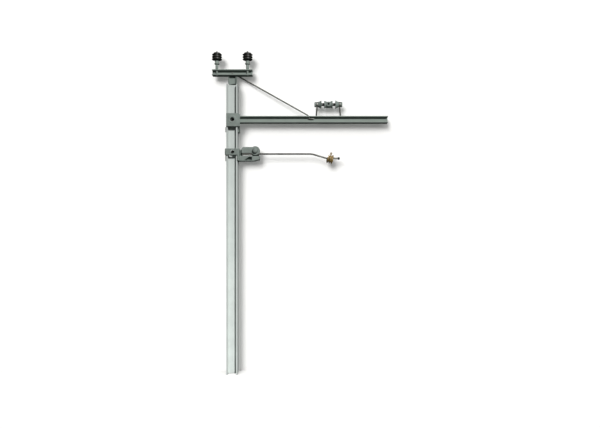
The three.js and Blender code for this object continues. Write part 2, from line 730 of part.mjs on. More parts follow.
// The domed screw that the lever turns on, with its head in front of the lever.
function pivotScrewSolid() {
  const underHead = LEVER_Y[0] - PLAY;
  const tip = REGISTRATION_FORWARD + BRACKET_DEPTH / 2 - PIVOT_END_WALL - PLAY;
  const dome = (share) => [
    DOME_RADIUS * Math.sin((share * Math.PI) / 2),
    underHead - DOME_RIM - DOME_RISE * Math.cos((share * Math.PI) / 2),
  ];
  const profile = [
    ...[0, 0.25, 0.5, 0.75, 1].map(dome),
    [DOME_RADIUS, underHead],
    [PIVOT_RADIUS, underHead],
    [PIVOT_RADIUS, tip],
    [0, tip],
  ];
  return turned(profile, 24, AXIS_ALONG_Y);
}

const BEAD_AT = 23.75;
const BEAD_DROP = 2.63;
const BEAD_TILT = THREE.MathUtils.degToRad(12);
const BEAD_RADIUS = 1.42;
const BEAD_CORE = 0.95;
const BEAD_PITCH = 0.7;
const STUB_RADIUS = 0.27;
const STUB_LIP = 0.09;
const STUB_LIP_HEIGHT = 0.22;
const STUB_TOP = 2.1;

// Three ribs on a core, a short stub on the middle one, and a bore that follows the bent wire.
function beadSolid() {
  const half = 1.5 * BEAD_PITCH;
  const profile = [
    [0, -half],
    [BEAD_CORE - 0.15, -half],
  ];
  for (const rib of [-1, 0, 1]) {
    const middle = rib * BEAD_PITCH;
    profile.push([BEAD_CORE, middle - 0.26]);
    profile.push([BEAD_RADIUS, middle - 0.15]);
    profile.push([BEAD_RADIUS, middle + 0.15]);
    profile.push([BEAD_CORE, middle + 0.26]);
  }
  profile.push([BEAD_CORE - 0.15, half]);
  profile.push([0, half]);
  const at = [BEAD_AT, 0, -BEAD_DROP];
  const tilted = (placing) => new THREE.Matrix4().makeRotationY(BEAD_TILT).multiply(placing);
  const ribs = turned(profile, 28, tilted(AXIS_ALONG_X), at);
  const stubProfile = [
    [0, BEAD_CORE - SEAM],
    [STUB_RADIUS, BEAD_CORE - SEAM],
    [STUB_RADIUS, STUB_TOP - STUB_LIP_HEIGHT],
    [STUB_RADIUS + STUB_LIP, STUB_TOP - STUB_LIP_HEIGHT],
    [STUB_RADIUS + STUB_LIP, STUB_TOP],
    [0, STUB_TOP],
  ];
  const stub = turned(stubProfile, 12, tilted(AXIS_ALONG_Z), at);
  return cut(join(ribs, stub), wire(registrationRoute(), REGISTRATION_RADIUS + WIRE_CLEARANCE));
}

const FERRULE_RADIUS = 0.4;
const FERRULE_LENGTH = 0.55;
const FERRULE_TO = REGISTRATION_REACH - 0.1;

function ferruleSolid() {
  const bore = REGISTRATION_RADIUS + WIRE_CLEARANCE;
  const profile = ringProfile(bore, FERRULE_RADIUS, FERRULE_TO - FERRULE_LENGTH, FERRULE_TO);
  return turned(profile, 16, AXIS_ALONG_X, [0, 0, -REGISTRATION_DROP - REGISTRATION_FALL]);
}

// ---------------------------------------------------------------- assembly

const stay = wire(route(STAY_ROUTE, 0.4), STAY_RADIUS);

const mast = new THREE.Group();
mast.add(
  mesh("post", postSolid(), paleGreenMetal()),
  group(0, 0, POST_HEIGHT + NECK_GAP + PLAY, mesh("crosshead_neck", neckSolid(), greyGreenPlastic())),
  group(
    0,
    0,
    CROSSHEAD_LEVEL,
    mesh("crosshead_beam", crossheadSolid(), greyGreenMetal()),
    mesh("crosshead_rivet", rivetSolid(), darkSteel()),
    pinInsulator("left", -1),
    pinInsulator("right", 1),
  ),
  mesh("stay_wire", stay, wireSteel()),
  group(
    0,
    0,
    UPPER_CLAMP_LEVEL,
    mesh("upper_clamp", upperClampSolid(), greyGreenPlastic()),
    mesh("upper_clamp_screw", grubScrewSolid(), darkSteel()),
  ),
  group(0, 0, ARM_LEVEL - ARM_HEIGHT / 2, mesh("arm_beam", armSolid(), greyGreenMetal())),
  messengerSupport(),
  group(
    0,
    0,
    LOWER_CLAMP_LEVEL,
    mesh("lower_clamp", lowerClampSolid(), greyGreenPlastic()),
    mesh("lower_clamp_screw", grubScrewSolid(), darkSteel()),
    group(
      PIVOT_AT,
      -REGISTRATION_FORWARD,
      PIVOT_RISE,
      mesh("pivot_screw", pivotScrewSolid(), greyGreenMetal()),
      mesh("registration_lever", leverSolid(), greyGreenPlastic()),
      mesh("registration_wire", wire(registrationRoute(), REGISTRATION_RADIUS), wireSteel()),
      mesh("registration_insulator", beadSolid(), amberPlastic()),
      mesh("registration_ferrule", ferruleSolid(), darkSteel()),
    ),
  ),
);

export default mast;
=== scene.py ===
"""Overhead-line mast for a model railway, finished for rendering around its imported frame.

The mast is an H-section post with a crosshead and two pin insulators, an arm held by a stay wire,
a messenger-wire support on the arm, and a registration arm on a clamp that slides along the post.
Shapes are worked out in millimetres and stored in metres.
"""

import json
import math

import bmesh
import bpy
from mathutils import Matrix, Vector

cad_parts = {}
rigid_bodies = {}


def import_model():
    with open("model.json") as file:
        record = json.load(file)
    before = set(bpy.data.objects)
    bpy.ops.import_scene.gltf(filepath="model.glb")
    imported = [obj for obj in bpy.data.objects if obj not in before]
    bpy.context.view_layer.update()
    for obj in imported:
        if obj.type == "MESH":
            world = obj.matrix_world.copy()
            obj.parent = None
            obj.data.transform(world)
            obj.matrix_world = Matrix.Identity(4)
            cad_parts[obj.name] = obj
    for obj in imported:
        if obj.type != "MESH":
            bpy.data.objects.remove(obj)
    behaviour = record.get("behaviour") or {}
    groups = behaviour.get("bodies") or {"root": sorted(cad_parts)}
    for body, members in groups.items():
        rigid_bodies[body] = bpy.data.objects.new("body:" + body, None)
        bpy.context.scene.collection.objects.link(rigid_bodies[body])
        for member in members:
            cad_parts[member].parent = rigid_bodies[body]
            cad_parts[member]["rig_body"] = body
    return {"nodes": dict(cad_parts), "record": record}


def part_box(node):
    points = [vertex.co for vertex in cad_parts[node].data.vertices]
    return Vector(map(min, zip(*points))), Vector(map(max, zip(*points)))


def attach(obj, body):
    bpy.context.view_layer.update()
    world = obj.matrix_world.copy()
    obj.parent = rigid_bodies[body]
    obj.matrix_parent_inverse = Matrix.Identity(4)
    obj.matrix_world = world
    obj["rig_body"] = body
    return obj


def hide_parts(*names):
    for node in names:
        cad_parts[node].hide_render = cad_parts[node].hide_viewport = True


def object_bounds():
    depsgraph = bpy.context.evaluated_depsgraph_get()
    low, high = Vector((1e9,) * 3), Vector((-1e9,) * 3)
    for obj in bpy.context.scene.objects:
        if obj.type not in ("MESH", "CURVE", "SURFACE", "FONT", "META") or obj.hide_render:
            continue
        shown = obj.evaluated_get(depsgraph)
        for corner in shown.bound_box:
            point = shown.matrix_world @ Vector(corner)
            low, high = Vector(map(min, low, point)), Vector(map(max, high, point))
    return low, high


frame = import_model()
CAD_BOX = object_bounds()

bl_info = {
    "name": "Overhead Line Mast",
    "version": (1, 0, 0),
    "blender": (4, 5, 0),
    "location": "View3D > Sidebar > Mast",
    "description": "Builds the finished pieces of a model railway overhead-line mast",
    "category": "Add Mesh",
}

MM = 0.001
X = Vector((1, 0, 0))
Y = Vector((0, 1, 0))
Z = Vector((0, 0, 1))
SIDES = {"left": -1, "right": 1}
FIT = 0.05  # millimetres between pieces that touch on the real mast
STAY_ON_CROSSHEAD = [(-0.4, 0.85), (1.75, 1.25)]  # Y, and height above the crosshead's lower face
STAY_HOLE_LEVEL = 0.93  # the stay wire's hole, above the crosshead's lower face
STAY_ON_ARM = [(0, 0.2), (0.15, -0.8)]  # X from its bend at the arm, and height above the arm's top
STAY_IN_ARM_Y = -0.5  # the stay wire ends in front of the arm's web
STAY_TAIL = 1.75  # from the stay wire's bend at the arm to its end
STAY_BEND = 0.4  # from where a bend starts to its corner
STAY_SLOT = [-0.4, 0.6]  # ends of the slot in the arm's top, from the bend
STAY_SLOT_HALF_WIDTH = 0.32
LEG_REACH = 3.87  # from the middle of the messenger support to each leg
LEG_PLAY = 0.07  # between a leg and its hole in the arm
EYE_REACH = 3.6  # from the middle of the messenger support to each leg's eye
EYE_HALF_WIDTH = 0.25
REGISTRATION_CORNERS = [18.0, 22.8]  # the registration wire's corners, from the pivot along X
REGISTRATION_BEND = 0.9  # from where a bend starts to its corner
BEAD_REACH = 23.75  # the brown insulator's middle, from the pivot along X
BEAD_DROP = 2.63  # and below it
FLOOR_DROP = 0.1  # the floor lies this far under the post's foot
BACKDROP_Y = 2.8
RECORD = frame["record"]
BODY_OF = {node: body for body, nodes in RECORD["behaviour"]["bodies"].items() for node in nodes}
SLOT_OF = {part["node"]: part["material_slot"] for part in RECORD["subparts"]}


def span(node):
    """A node's lowest and highest corner in millimetres."""
    low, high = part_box(node)
    return low / MM, high / MM


POST_LOW, POST_HIGH = span("post")
SUPPORT = sum(span("messenger_clamp"), Vector()) / 2


# ---------------------------------------------------------------- sizes and colours


def length(name, description, default, low=0.0):
    """A size in millimetres."""
    return bpy.props.FloatProperty(
        name=name, description=description, default=default, min=low, precision=3
    )


def colour(name, description, default):
    """A colour in linear light."""
    return bpy.props.FloatVectorProperty(
        name=name, description=description, default=default, subtype="COLOR", size=3, min=0.0, max=1.0
    )


class MastSizes(bpy.types.PropertyGroup):
    """Sizes of the finished pieces, in millimetres."""

    post_wall: length("Post Wall", "Thickness of the post's web and flanges, mm", 0.45)
    post_fillet: length("Post Fillet", "Radius between the post's web and flanges, mm", 0.2)
    beam_wall: length("Beam Wall", "Thickness of the arm's and the crosshead's web and flanges, mm", 0.3)
    beam_fillet: length("Beam Fillet", "Radius between their webs and flanges, mm", 0.12)
    edge: length("Edge Rounding", "Rounding of cut and turned edges, mm", 0.045)
    cast_edge: length("Moulded Rounding", "Rounding of the moulded pieces' edges, mm", 0.07)
    pin_radius: length("Pin Radius", "Radius of the insulators' pins in their holes, mm", 0.3)
    rivet_radius: length("Rivet Radius", "Radius of the crosshead rivet's shank, mm", 0.2)
    stay_radius: length("Stay Radius", "Radius of the stay wire, mm", 0.22)
    leg_radius: length("Leg Radius", "Radius of the support's wire legs, mm", 0.25)
    registration_radius: length("Registration Radius", "Radius of the registration wire, mm", 0.27)


class MastColours(bpy.types.PropertyGroup):
    """Main colours of the finishes."""

    post: colour("Post", "Paint on the H-section post", (0.715, 0.765, 0.735))
    beam: colour("Beams", "Paint on the arm and the crosshead", (0.252, 0.296, 0.266))
    moulding: colour("Mouldings", "Grey-green moulded clamps and fittings", (0.208, 0.246, 0.222))
    black: colour("Black Insulators", "Black ribbed mouldings", (0.014, 0.014, 0.011))
    # The brown insulator's darker parts are painted shade, from streaks in its finish.
    amber: colour("Brown Insulator", "Light parts of the brown insulator", (0.34, 0.235, 0.09))
    wire: colour("Wire", "Drawn steel wire", (0.19, 0.19, 0.172))
    # Near black: real blackened steel, and also painted shade for the clamp holes the screws sit in.
    steel: colour("Dark Steel", "Blackened screws", (0.018, 0.018, 0.017))


# ---------------------------------------------------------------- shapes


def corners_of(made):
    """The vertices in an operator's result."""
    return [item for item in made["geom"] if isinstance(item, bmesh.types.BMVert)]


def prism(points, depth):
    """A solid with a flat outline, extruded by a vector."""
    bm = bmesh.new()
    base = bm.faces.new([bm.verts.new(point) for point in points])
    made = bmesh.ops.extrude_face_region(bm, geom=[base])
    bmesh.ops.translate(bm, verts=corners_of(made), vec=depth)
    bmesh.ops.recalc_face_normals(bm, faces=bm.faces)
    return bm


def block(low, high):
    """A box between two corners."""
    bm = bmesh.new()
    size = Vector(high) - Vector(low)
    middle = (Vector(high) + Vector(low)) / 2
    bmesh.ops.create_cube(bm, size=1, matrix=Matrix.Translation(middle) @ Matrix.Diagonal((*size, 1)))
    return bm


def aimed(centre, axis):
    """Takes the origin to a point and +Z to a direction."""
    return Matrix.Translation(centre) @ Vector(axis).to_track_quat("Z", "Y").to_matrix().to_4x4()


def turned(profile, centre=(0, 0, 0), axis=Z, steps=48, closed=False):
    """A solid spun from points of (radius, distance along the axis)."""
    bm = bmesh.new()
    points = [bm.verts.new((radius, 0, along)) for radius, along in profile]
    pairs = list(zip(points, points[1:]))
    if closed:
        pairs.append((points[-1], points[0]))
    edges = [bm.edges.new(pair) for pair in pairs]
    bmesh.ops.spin(
        bm,
        geom=points + edges,
        cent=(0, 0, 0),
        axis=(0, 0, 1),
        angle=math.tau,
        steps=steps,
        use_merge=True,
    )
    bmesh.ops.remove_doubles(bm, verts=bm.verts, dist=1e-4)
    bmesh.ops.transform(bm, matrix=aimed(centre, axis), verts=bm.verts)
    bmesh.ops.recalc_face_normals(bm, faces=bm.faces)
    return bm


def rod(radius, start, end, steps=32):
    """A round bar between two points."""
    run = Vector(end) - Vector(start)
    return turned([(0, 0), (radius, 0), (radius, run.length), (0, run.length)], start, run, steps)


def drawn_wire(corners, radius, bend_length, sides=20, bend_steps=10):
    """A round wire with straight runs, and a bend that starts bend_length before each corner."""
    points = [Vector(corner) for corner in corners]
    headings = [(after - before).normalized() for before, after in zip(points, points[1:])]
    bm = bmesh.new()
    bmesh.ops.create_circle(
        bm, cap_ends=True, segments=sides, radius=radius, matrix=aimed(points[0], headings[0])
    )
    tip = list(bm.faces)
    here = points[0]

    def run_to(target):
        made = bmesh.ops.extrude_face_region(bm, geom=tip)
        bmesh.ops.translate(bm, verts=corners_of(made), vec=target - here)
        return [item for item in made["geom"] if isinstance(item, bmesh.types.BMFace)]

    for corner, heading, next_heading in zip(points[1:-1], headings, headings[1:]):
        tip = run_to(corner - heading * bend_length)
        turn = heading.angle(next_heading)
        bend_radius = bend_length / math.tan(turn / 2)
        axis = heading.cross(next_heading).normalized()
        centre = corner - heading * bend_length + axis.cross(heading) * bend_radius
        spun = bmesh.ops.spin(bm, geom=tip, cent=centre, axis=axis, angle=turn, steps=bend_steps)
        tip = [item for item in spun["geom_last"] if isinstance(item, bmesh.types.BMFace)]
        here = corner + next_heading * bend_length
    run_to(points[-1])
    inner = [face for face in bm.faces if all(len(edge.link_faces) > 2 for edge in face.edges)]
    bmesh.ops.delete(bm, geom=inner, context="FACES_ONLY")
    bmesh.ops.recalc_face_normals(bm, faces=bm.faces)
    return bm


def merged(bm, tools, operation):
    """A solid with others joined to it or cut from it."""

    def stand_in(made):
        mesh = bpy.data.meshes.new("tool")
        made.to_mesh(mesh)
        made.free()
        tool = bpy.data.objects.new("tool", mesh)
        bpy.context.scene.collection.objects.link(tool)
        return tool

    piece = stand_in(bm)
    helpers = [stand_in(tool) for tool in tools]
    for helper in helpers:
        step = piece.modifiers.new("step", "BOOLEAN")
        step.operation = operation
        step.solver = "EXACT"
        step.object = helper
    graph = bpy.context.evaluated_depsgraph_get()
    result = bmesh.new()
    result.from_object(piece, graph)
    for used in [piece, *helpers]:
        bpy.data.meshes.remove(used.data)
    bmesh.ops.remove_doubles(result, verts=result.verts, dist=1e-4)
    tidy_flats(result)
    return result


def joined(bm, *tools):
    """A solid with others joined to it."""
    return merged(bm, tools, "UNION")


def cut(bm, *tools):
    """A solid with others cut from it."""
    return merged(bm, tools, "DIFFERENCE")


def tidy_flats(bm):
    """Makes each flat region one face again."""
    bmesh.ops.dissolve_limit(bm, angle_limit=math.radians(0.5), verts=bm.verts, edges=bm.edges)


def from_frame(node):
    """A node's own solid in millimetres, with its triangles merged into faces."""
    bm = bmesh.new()
    bm.from_mesh(frame["nodes"][node].data)
    bmesh.ops.scale(bm, vec=Vector((1, 1, 1)) / MM, verts=bm.verts)
    bmesh.ops.remove_doubles(bm, verts=bm.verts, dist=1e-3)
    tidy_flats(bm)
    return bm


def rounded(bm, width, segments=3, where=None, sharp=30, worn=True):
    """Rounds the edges that are sharper than an angle, and marks the new faces as worn."""
    mark = bm.faces.layers.float.get("worn") or bm.faces.layers.float.new("worn")
    edges = [
        edge
        for edge in bm.edges
        if edge.is_manifold
        and edge.calc_face_angle() > math.radians(sharp)
        and (where is None or where(edge))
    ]
    made = bmesh.ops.bevel(
        bm,
        geom=edges,
        offset=width,
        offset_type="OFFSET",
        segments=segments,
        profile=0.5,
        affect="EDGES",
        clamp_overlap=False,
        material=-1,
    )
    if worn:
        for face in made["faces"]:
            face[mark] = 1.0
    return bm


def along(edge, axis):
    """True if an edge runs along an axis."""
    return abs((edge.verts[1].co - edge.verts[0].co).normalized().dot(axis)) > 0.999


def finished(bm, node):
    """Puts a solid in the scene in place of its node, riding on the node's body in the node's finish."""
    bmesh.ops.scale(bm, vec=Vector((MM, MM, MM)), verts=bm.verts)
    mesh = bpy.data.meshes.new(node)
    bm.to_mesh(mesh)
    bm.free()
    mesh.shade_smooth()
    mesh.materials.append(finish_for(SLOT_OF[node]))
    piece = bpy.data.objects.new(f"{node}_finished", mesh)
    bpy.context.scene.collection.objects.link(piece)
    shading = piece.modifiers.new("even_flats", "WEIGHTED_NORMAL")
    shading.weight = 100
    shading.keep_sharp = True
    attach(piece, BODY_OF[node])
    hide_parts(node)
    return piece


# ---------------------------------------------------------------- finishes


class Signal:
    """A node's output that can take part in sums."""

    def __init__(self, finish, socket):
        self.finish = finish
        self.socket = socket

    def _sum(self, operation, first, second):
        return self.finish.node("ShaderNodeMath", {"operation": operation}, {0: first, 1: second})

    def __add__(self, other):
        return self._sum("ADD", self, other)

    def __radd__(self, other):
        return self._sum("ADD", other, self)

    def __sub__(self, other):
        return self._sum("SUBTRACT", self, other)

    def __rsub__(self, other):
        return self._sum("SUBTRACT", other, self)

    def __mul__(self, other):
        return self._sum("MULTIPLY", self, other)

    def __rmul__(self, other):
        return self._sum("MULTIPLY", other, self)


class Finish:
    """A material that is built one node at a time."""

    def __init__(self, name):
        self.material = bpy.data.materials.new(f"{name}_finish")
        self.material.use_nodes = True
        self.tree = self.material.node_tree
        self.shader = self.tree.nodes["Principled BSDF"]
        self.place = self.node("ShaderNodeTexCoord", output="Object")
        self.worn = self.node("ShaderNodeAttribute", {"attribute_name": "worn"}, output="Fac")

    def node(self, kind, settings=None, inputs=None, output=0):
        """Adds a node, sets it up, feeds its sockets and gives one of its outputs."""
        made = self.tree.nodes.new(kind)
        for name, value in (settings or {}).items():
            setattr(made, name, value)
        for name, value in (inputs or {}).items():
            self.feed(made.inputs[name], value)
        return Signal(self, made.outputs[output])

    def feed(self, socket, value):
        if isinstance(value, Signal):
            self.tree.links.new(value.socket, socket)
        else:
            socket.default_value = value

    def set(self, **inputs):
        """Feeds the shader's sockets, named with underscores for spaces."""
        for name, value in inputs.items():
            self.feed(self.shader.inputs[name.replace("_", " ")], value)

    def noise(self, per_mm, stretch=(1, 1, 1), detail=3.0, roughness=0.55):
        """Cloudy noise with so many blotches in a millimetre, drawn out by a stretch."""
        place = self.node(
            "ShaderNodeVectorMath", {"operation": "MULTIPLY"}, {0: self.place, 1: stretch}, "Vector"
        )
        inputs = {"Vector": place, "Scale": per_mm / MM, "Detail": detail, "Roughness": roughness}
        return self.node("ShaderNodeTexNoise", {}, inputs, "Fac")

    def above(self, value, low, high):
        """0 where a value is below low and 1 where it is above high."""
        inputs = {"Value": value, "From Min": low, "From Max": high}
        return self.node("ShaderNodeMapRange", {"interpolation_type": "SMOOTHSTEP"}, inputs, "Result")

    def blend(self, share, first, second):
        """One colour where share is 0 and another where it is 1."""
        first, second = [
            (*value, 1) if not isinstance(value, Signal) and len(value) == 3 else value
            for value in (first, second)
        ]
        return self.node("ShaderNodeMix", {"data_type": "RGBA"}, {0: share, 6: first, 7: second}, 2)

    def bump(self, height, depth, strength=1.0):
        """A surface that rises by depth millimetres where height is 1."""
        inputs = {"Height": height, "Distance": depth * MM, "Strength": strength}
        return self.node("ShaderNodeBump", {}, inputs, "Normal")


def shade(value, factor):
    """A colour made lighter or darker."""
    return tuple(min(1.0, part * factor) for part in value)


def painted_section(name, value, grain, grain_depth, bare):
    """Satin paint over a drawn section, with lines along it and metal showing at the edges."""
    finish = Finish(name)
    cloud = finish.noise(0.22, detail=4)
    speckle = finish.noise(3.2, detail=2, roughness=0.7)
    lines = finish.noise(6.0, grain, detail=4, roughness=0.65)
    base = finish.blend(finish.above(cloud, 0.35, 0.7), shade(value, 1.04), shade(value, 0.92))
    base = finish.blend(finish.above(speckle, 0.62, 0.8) * 0.35, base, shade(value, 0.72))
    base = finish.blend(finish.above(lines, 0.55, 0.75) * 0.3, base, shade(value, 1.18))
    rubbed = finish.worn * finish.above(finish.noise(1.1, detail=3), 0.42, 0.62)
    base = finish.blend(rubbed * 0.65, base, bare)
    finish.set(
        Base_Color=base,
        Metallic=0.03 + rubbed * 0.5,
        Roughness=0.52 + lines * 0.2 - rubbed * 0.12,
        Normal=finish.bump(lines + speckle * 0.4, grain_depth),
    )
    finish.shader.inputs["Specular IOR Level"].default_value = 0.2
    return finish


def post_paint(colours):
    """Pale paint on the post, with drawn lines along it and painted shade that darkens it towards its
    top.
    """
    finish = painted_section("post_paint", colours.post, (1, 1, 0.02), 0.004, (0.66, 0.66, 0.62))
    height = finish.node("ShaderNodeSeparateXYZ", {}, {"Vector": finish.place}, "Z")
    # Painted shade: the colour darkens towards the post's top, standing in for the light that falls off
    # there.
    top_shade = finish.above(height + finish.noise(0.05) * 0.02, 0.02, 0.11)
    unshaded_base = Signal(finish, finish.shader.inputs["Base Color"].links[0].from_socket)
    finish.set(Base_Color=finish.blend(top_shade, unshaded_base, shade(colours.post, 0.72)))
    return finish.material


def beam_paint(colours):
    """Grey-green paint on the arm and the crosshead, with drawn lines along them."""
    finish = painted_section("beam_paint", colours.beam, (0.03, 1, 1), 0.005, (0.46, 0.47, 0.44))
    return finish.material


def cast_grey(colours):
    """Matt grey-green moulding with a fine grain and lighter rubbed edges."""
    value = tuple(colours.moulding)
    finish = Finish("cast_grey")
    cloud = finish.noise(0.5, detail=4)
    grain = finish.noise(7.0, detail=3, roughness=0.7)
    base = finish.blend(finish.above(cloud, 0.35, 0.68), shade(value, 1.08), shade(value, 0.86))
    base = finish.blend(finish.above(grain, 0.58, 0.78) * 0.4, base, shade(value, 0.7))
    rubbed = finish.worn * finish.above(finish.noise(1.6, detail=3), 0.35, 0.6)
    base = finish.blend(rubbed * 0.55, base, shade(value, 1.7))
    finish.set(
        Base_Color=base,
        Roughness=0.56 + cloud * 0.14 - rubbed * 0.1,
        Normal=finish.bump(grain + cloud * 0.6, 0.012),
    )
    return finish.material


def insulator_black(colours):
    """Black moulding with a soft gloss, lighter in random clouds and grey on its rounded edges."""
    value = tuple(colours.black)
    finish = Finish("insulator_black")
    cloud = finish.noise(0.9, detail=3)
    grain = finish.noise(8.0, detail=3, roughness=0.65)
    base = finish.blend(finish.above(cloud, 0.4, 0.7) * 0.8, value, shade(value, 1.9))
    base = finish.blend(finish.worn * finish.above(grain, 0.4, 0.6) * 0.5, base, (0.09, 0.092, 0.082))
    finish.set(
        Base_Color=base,
        Roughness=0.3 + cloud * 0.22,
        Normal=finish.bump(grain, 0.006),
    )
    return finish.material


def insulator_brown(colours):
    """Amber-brown moulding with a bright gloss, and darker streaks that are painted shade for the dark
    between the ribs, laid out at random.
    """
    value = tuple(colours.amber)
    finish = Finish("insulator_brown")
    streaks_and_shade = finish.noise(0.8, (1, 1, 0.5), detail=4)
    grain = finish.noise(6.0, detail=3, roughness=0.6)
    # Painted shade: darker streaks stand in for the shade between the ribs, placed at random rather than
    # between them.
    base = finish.blend(finish.above(streaks_and_shade, 0.42, 0.66), value, shade(value, 0.42))
    base = finish.blend(finish.worn * finish.above(grain, 0.4, 0.62) * 0.5, base, shade(value, 1.5))
    finish.set(
        Base_Color=base,
        Roughness=0.28 + streaks_and_shade * 0.18,
        Normal=finish.bump(grain + streaks_and_shade, 0.008),
    )
    return finish.material


def wire_metal(colours):
    """Drawn steel wire with a thin tarnish."""
    value = tuple(colours.wire)
    finish = Finish("wire_metal")
    tarnish = finish.noise(0.7, detail=4)
    scratches = finish.noise(9.0, (0.08, 1, 1), detail=3, roughness=0.6)
    base = finish.blend(finish.above(tarnish, 0.4, 0.68), shade(value, 1.25), shade(value, 0.6))
    base = finish.blend(finish.above(scratches, 0.6, 0.75) * 0.4, base, shade(value, 1.9))
    finish.set(
        Base_Color=base,
        Metallic=0.75,
        Roughness=0.3 + tarnish * 0.25,
        Normal=finish.bump(scratches, 0.003),
    )
    return finish.material


def screw_steel(colours):
    """Blackened steel, brighter where its edges are rubbed, and kept near black as painted shade for the
    holes and recesses the screws sit in.
    """
    value = tuple(colours.steel)
    finish = Finish("screw_steel")
    mottle = finish.noise(2.5, detail=3)
    rings = finish.noise(8.0, detail=2)
    base = finish.blend(finish.above(mottle, 0.4, 0.65), value, shade(value, 1.7))
    base = finish.blend(finish.worn * 0.4, base, shade(value, 3.0))
    finish.set(
        Base_Color=base,
        Metallic=0.3,
        Roughness=0.42 + mottle * 0.2,
        Normal=finish.bump(rings, 0.004),
    )
    return finish.material


FINISHES = {
    made.__name__: made
    for made in (
        post_paint,
        beam_paint,
        cast_grey,
        insulator_black,
        insulator_brown,
        wire_metal,
        screw_steel,
    )
}


def finish_for(slot):
    """The material for a slot, made when it is first asked for."""
    made = bpy.data.materials.get(f"{slot}_finish")
    return made or FINISHES[slot](bpy.context.scene.mast_colours)


# ---------------------------------------------------------------- pieces


def h_section(reach, depth, wall):
    """The outline of an H, as (across, along the web's normal), with a flange at each end of its web."""
    inner = reach - wall
    quarter = [(reach, depth), (inner, depth), (inner, wall / 2)]
    half = quarter + [(-across, out) for across, out in reversed(quarter)]
    return half + [(-across, -out) for across, out in half]


def filleted(bm, run, wall, fillet):
    """Rounds the inner corners of an H section that runs along an axis, with its web square to Y."""

    def in_corner(edge):
        return along(edge, run) and abs(abs(edge.verts[0].co.y) - wall / 2) < wall / 4

    return rounded(bm, fillet, 5, in_corner, worn=False)


def beam(node, sizes):
    """An H section along X with its web upright, in a node's box."""
    low, high = span(node)
    level = (low.z + high.z) / 2
    outline = h_section(high.z - level, high.y, sizes.beam_wall)
    bm = prism([(low.x, out, level + across) for across, out in outline], X * (high.x - low.x))
    return filleted(bm, X, sizes.beam_wall, sizes.beam_fillet)


class MAST_OT_post(bpy.types.Operator):
    """Build the H-section post"""

    bl_idname = "mast.post"
    bl_label = "Post"

    def execute(self, context):
        sizes = context.scene.mast_sizes
        outline = h_section(POST_HIGH.x, POST_HIGH.y, sizes.post_wall)
        foot = [(across, out, POST_LOW.z) for across, out in outline]
        bm = prism(foot, Z * (POST_HIGH.z - POST_LOW.z))
        filleted(bm, Z, sizes.post_wall, sizes.post_fillet)
        rounded(bm, sizes.edge, 3)
        finished(bm, "post")
        return {"FINISHED"}


class MAST_OT_crosshead(bpy.types.Operator):
    """Build the neck, the crosshead and its rivet"""

    bl_idname = "mast.crosshead"
    bl_label = "Crosshead"

    def execute(self, context):
        sizes = context.scene.mast_sizes
        finished(rounded(from_frame("crosshead_neck"), sizes.edge), "crosshead_neck")

        beam_low, beam_high = span("crosshead_beam")
        rivet_low, rivet_high = span("crosshead_rivet")
        rivet_back = (rivet_low.y + rivet_high.y) / 2
        shank = sizes.rivet_radius
        floor = beam_low.z + sizes.beam_wall
        holes = [rod(shank + FIT, (0, rivet_back, beam_low.z - 1), (0, rivet_back, floor + 0.2))]
        for side in SIDES:
            pin = sum(span(f"{side}_pin"), Vector()) / 2
            run = (pin.x, pin.y, beam_low.z - 1), (pin.x, pin.y, beam_high.z + 1)
            holes.append(rod(sizes.pin_radius + FIT, *run))
        stay_level = beam_low.z + STAY_HOLE_LEVEL
        holes.append(rod(sizes.stay_radius + FIT, (0, -0.5, stay_level), (0, 0.5, stay_level)))
        finished(rounded(cut(beam("crosshead_beam", sizes), *holes), sizes.edge), "crosshead_beam")

        head = rivet_high.x
        seat = floor + FIT
        rise = rivet_high.z - seat
        rivet = [
            (0, rivet_low.z),
            (shank, rivet_low.z),
            (shank, seat),
            (head, seat),
            (head, seat + rise * 0.45),
            (head * 0.78, seat + rise * 0.85),
            (head * 0.4, rivet_high.z),
            (0, rivet_high.z),
        ]
        finished(rounded(turned(rivet, (0, rivet_back, 0)), 0.02, 2), "crosshead_rivet")
        return {"FINISHED"}


